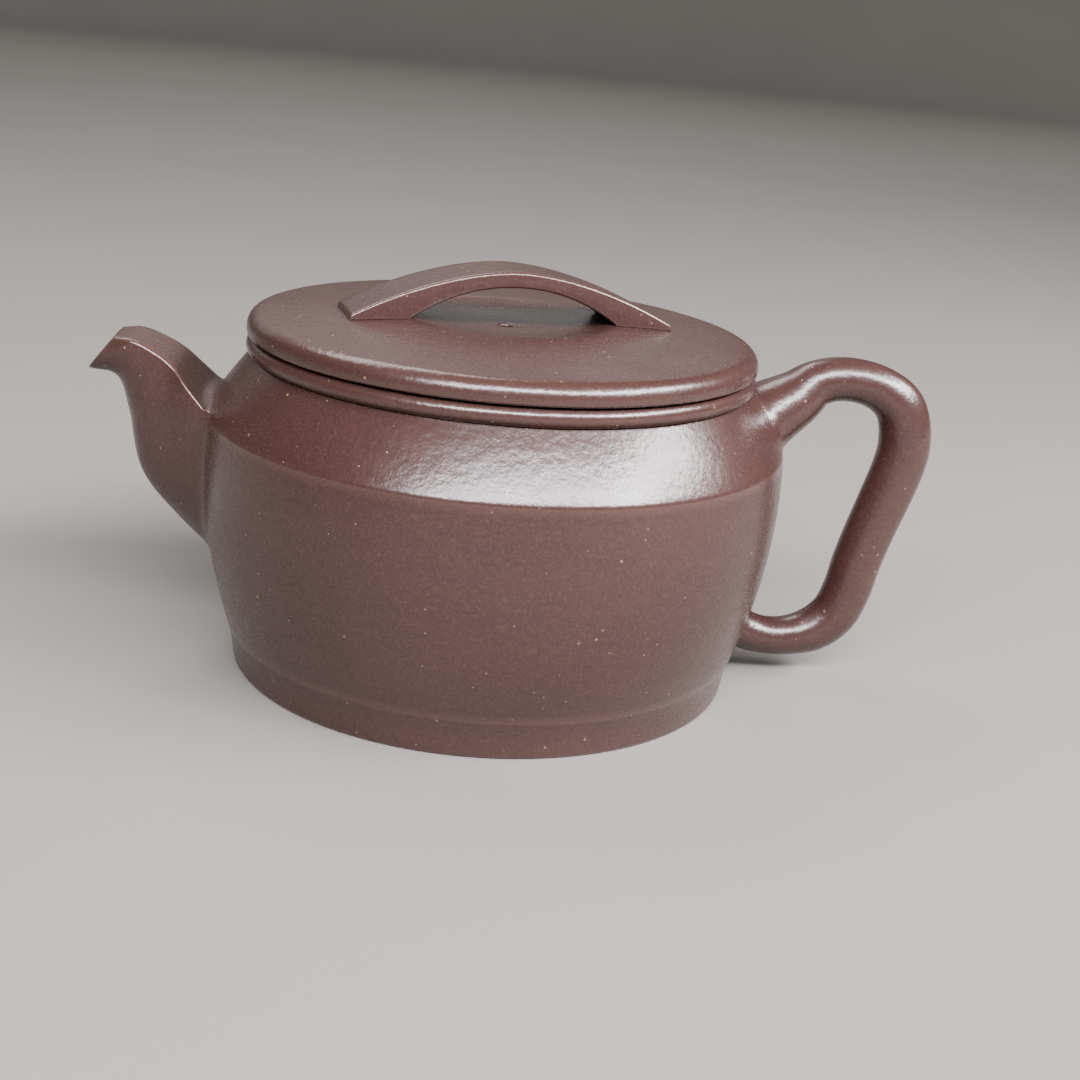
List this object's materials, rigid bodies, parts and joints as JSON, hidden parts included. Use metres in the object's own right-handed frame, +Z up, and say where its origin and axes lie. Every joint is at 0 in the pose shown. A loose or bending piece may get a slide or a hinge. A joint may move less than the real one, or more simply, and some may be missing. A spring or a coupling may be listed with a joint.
{
  "type": "clay teapot",
  "caption": "Low round unglazed clay teapot with a flat overlapping lid, arched bridge knob, short curved spout and ear-shaped handle; the lid turns and lifts off.",
  "frame": {"origin": "centre of the flat underside, on the pot's axis, at the table", "axes": "+Z up along the pot's axis, spout towards -X, handle towards +X, so X is the longest side and Z the shortest"},
  "size_m": [0.1468, 0.1, 0.0705],
  "materials": {
    "burnished_clay": "unglazed purple-brown stoneware, burnished to a soft satin, with fine pale specks",
    "raw_clay": "the same unglazed purple-brown stoneware left matt"
  },
  "bodies": {
    "pot": {"base_disc": "raw_clay", "foot_band": "burnished_clay", "body_wall": "burnished_clay", "shoulder_disc": "burnished_clay", "mouth_ring": "burnished_clay", "spout": "burnished_clay", "spout_strainer": "raw_clay", "handle": "burnished_clay"},
    "lid_lift_body": {"lid_collar": "raw_clay"},
    "lid": {"lid_plate": "burnished_clay", "lid_bridge": "burnished_clay"}
  },
  "joints": [
    {"name": "lid_lift", "type": "slide", "parent": "pot", "child": "lid_lift_body", "axis": [0, 0, 1], "range_m": [0, 0.06]},
    {"name": "lid_turn", "type": "hinge", "parent": "lid_lift_body", "child": "lid", "pos_m": [0, 0, 0.05695], "axis": [0, 0, 1], "continuous": true}
  ]
}
